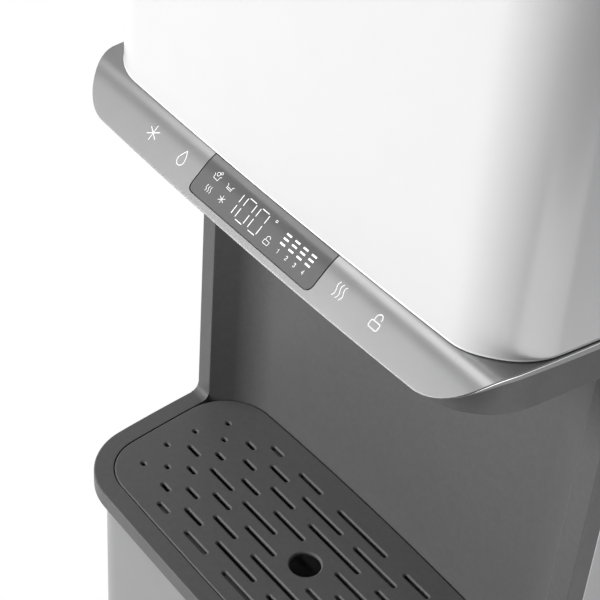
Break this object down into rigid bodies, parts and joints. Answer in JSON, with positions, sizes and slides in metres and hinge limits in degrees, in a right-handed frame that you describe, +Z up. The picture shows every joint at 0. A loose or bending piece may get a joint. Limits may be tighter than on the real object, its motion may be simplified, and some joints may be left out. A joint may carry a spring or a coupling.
{
  "type": "hot and cold water dispenser",
  "caption": "Floor-standing hot and cold water dispenser with a sloped touch panel round the head, a dark recess with a slotted drip grille and a door over its filters.",
  "frame": {"origin": "on the floor, under the centre of the bounding box", "axes": "+Z up, +X to the right as the user faces the machine, +Y from the user to the wall"},
  "size_m": [0.3024, 0.352, 1.16],
  "materials": {
    "dark_plastic": "satin",
    "white_gloss": "gloss",
    "silver_panel": "satin",
    "silver_sheet": "satin",
    "tinted_lens": "gloss",
    "board_green": "matte",
    "black_plastic": "matte",
    "white_plastic": "matte",
    "soft_rubber": "matte",
    "bare_steel": "satin",
    "black_enamel": "semi gloss",
    "clear_blue_plastic": "gloss",
    "foam": "matte",
    "galvanised": "dull"
  },
  "bodies": {
    "machine": {"niche_liner": "dark_plastic", "tray_well": "dark_plastic", "head_lower_casing": "dark_plastic", "control_band": "silver_panel", "display_window": "tinted_lens", "touch_board": "board_green", "upper_housing": "white_gloss", "top_cover": "white_gloss", "column_side_left": "silver_sheet", "column_side_right": "silver_sheet", "lower_side_left": "silver_sheet", "lower_side_right": "silver_sheet", "hinge_pin_top": "bare_steel", "hinge_pin_bottom": "bare_steel", "door_magnet": "black_plastic", "filter_bay": "white_plastic", "filter_manifold": "white_plastic", "pump_motor": "black_enamel", "pump_head": "black_plastic", "pump_cradle": "white_plastic", "inlet_valve": "white_plastic", "base_pan": "dark_plastic", "rear_cover": "galvanised", "rear_lower_panel": "galvanised", "rear_screws": "bare_steel", "connection_pocket": "black_plastic", "connection_plate": "galvanised", "water_inlet": "white_plastic", "drain_outlet": "white_plastic", "switch_frames": "black_plastic", "mains_inlet": "black_plastic", "compressor": "black_enamel", "compressor_mounts": "soft_rubber", "condenser": "black_enamel", "pure_water_tank": "clear_blue_plastic", "tank_cap": "white_plastic", "cold_tank": "bare_steel", "cold_tank_jacket": "foam", "instant_heater": "bare_steel", "delivery_pump": "black_plastic", "outlet_nozzle": "dark_plastic", "outlet_seal": "soft_rubber", "main_board": "board_green", "board_tray": "white_plastic", "inner_frame": "galvanised", "foot_front_left": "soft_rubber", "foot_front_right": "soft_rubber", "foot_back_left": "soft_rubber", "foot_back_right": "soft_rubber"},
    "door": {"front_door": "silver_panel", "door_strike": "bare_steel"},
    "tray": {"drip_tray": "dark_plastic"},
    "grille": {"drip_grille": "dark_plastic"},
    "heating_rocker": {"heating_switch": "black_plastic"},
    "cooling_rocker": {"cooling_switch": "black_plastic"},
    "sediment_filter_cartridge": {"sediment_filter": "white_plastic"},
    "carbon_filter_cartridge": {"carbon_filter": "white_plastic"},
    "membrane_filter_cartridge": {"membrane_filter": "white_plastic"},
    "polishing_filter_cartridge": {"polishing_filter": "white_plastic"}
  },
  "joints": [
    {"name": "door_hinge", "type": "hinge", "parent": "machine", "child": "door", "pos_m": [-0.13144, -0.126, 0.38], "axis": [0, 0, -1], "range_deg": [0, 100]},
    {"name": "tray_lift", "type": "slide", "parent": "machine", "child": "tray", "axis": [0, 0, 1], "range_m": [0, 0.06]},
    {"name": "grille_lift", "type": "slide", "parent": "tray", "child": "grille", "axis": [0, 0, 1], "range_m": [0, 0.05]},
    {"name": "sediment_filter_twist", "type": "hinge", "parent": "machine", "child": "sediment_filter_cartridge", "pos_m": [-0.0885, -0.118, 0.43], "axis": [0, 0, 1], "range_deg": [0, 90]},
    {"name": "carbon_filter_twist", "type": "hinge", "parent": "machine", "child": "carbon_filter_cartridge", "pos_m": [-0.0295, -0.118, 0.43], "axis": [0, 0, 1], "range_deg": [0, 90]},
    {"name": "membrane_filter_twist", "type": "hinge", "parent": "machine", "child": "membrane_filter_cartridge", "pos_m": [0.0295, -0.118, 0.43], "axis": [0, 0, 1], "range_deg": [0, 90]},
    {"name": "polishing_filter_twist", "type": "hinge", "parent": "machine", "child": "polishing_filter_cartridge", "pos_m": [0.0885, -0.118, 0.43], "axis": [0, 0, 1], "range_deg": [0, 90]},
    {"name": "heating_rocker_tilt", "type": "hinge", "parent": "machine", "child": "heating_rocker", "pos_m": [-0.056, 0.1424, 0.165], "axis": [1, 0, 0], "range_deg": [-16, 0]},
    {"name": "cooling_rocker_tilt", "type": "hinge", "parent": "machine", "child": "cooling_rocker", "pos_m": [-0.028, 0.1424, 0.165], "axis": [1, 0, 0], "range_deg": [-16, 0]}
  ]
}
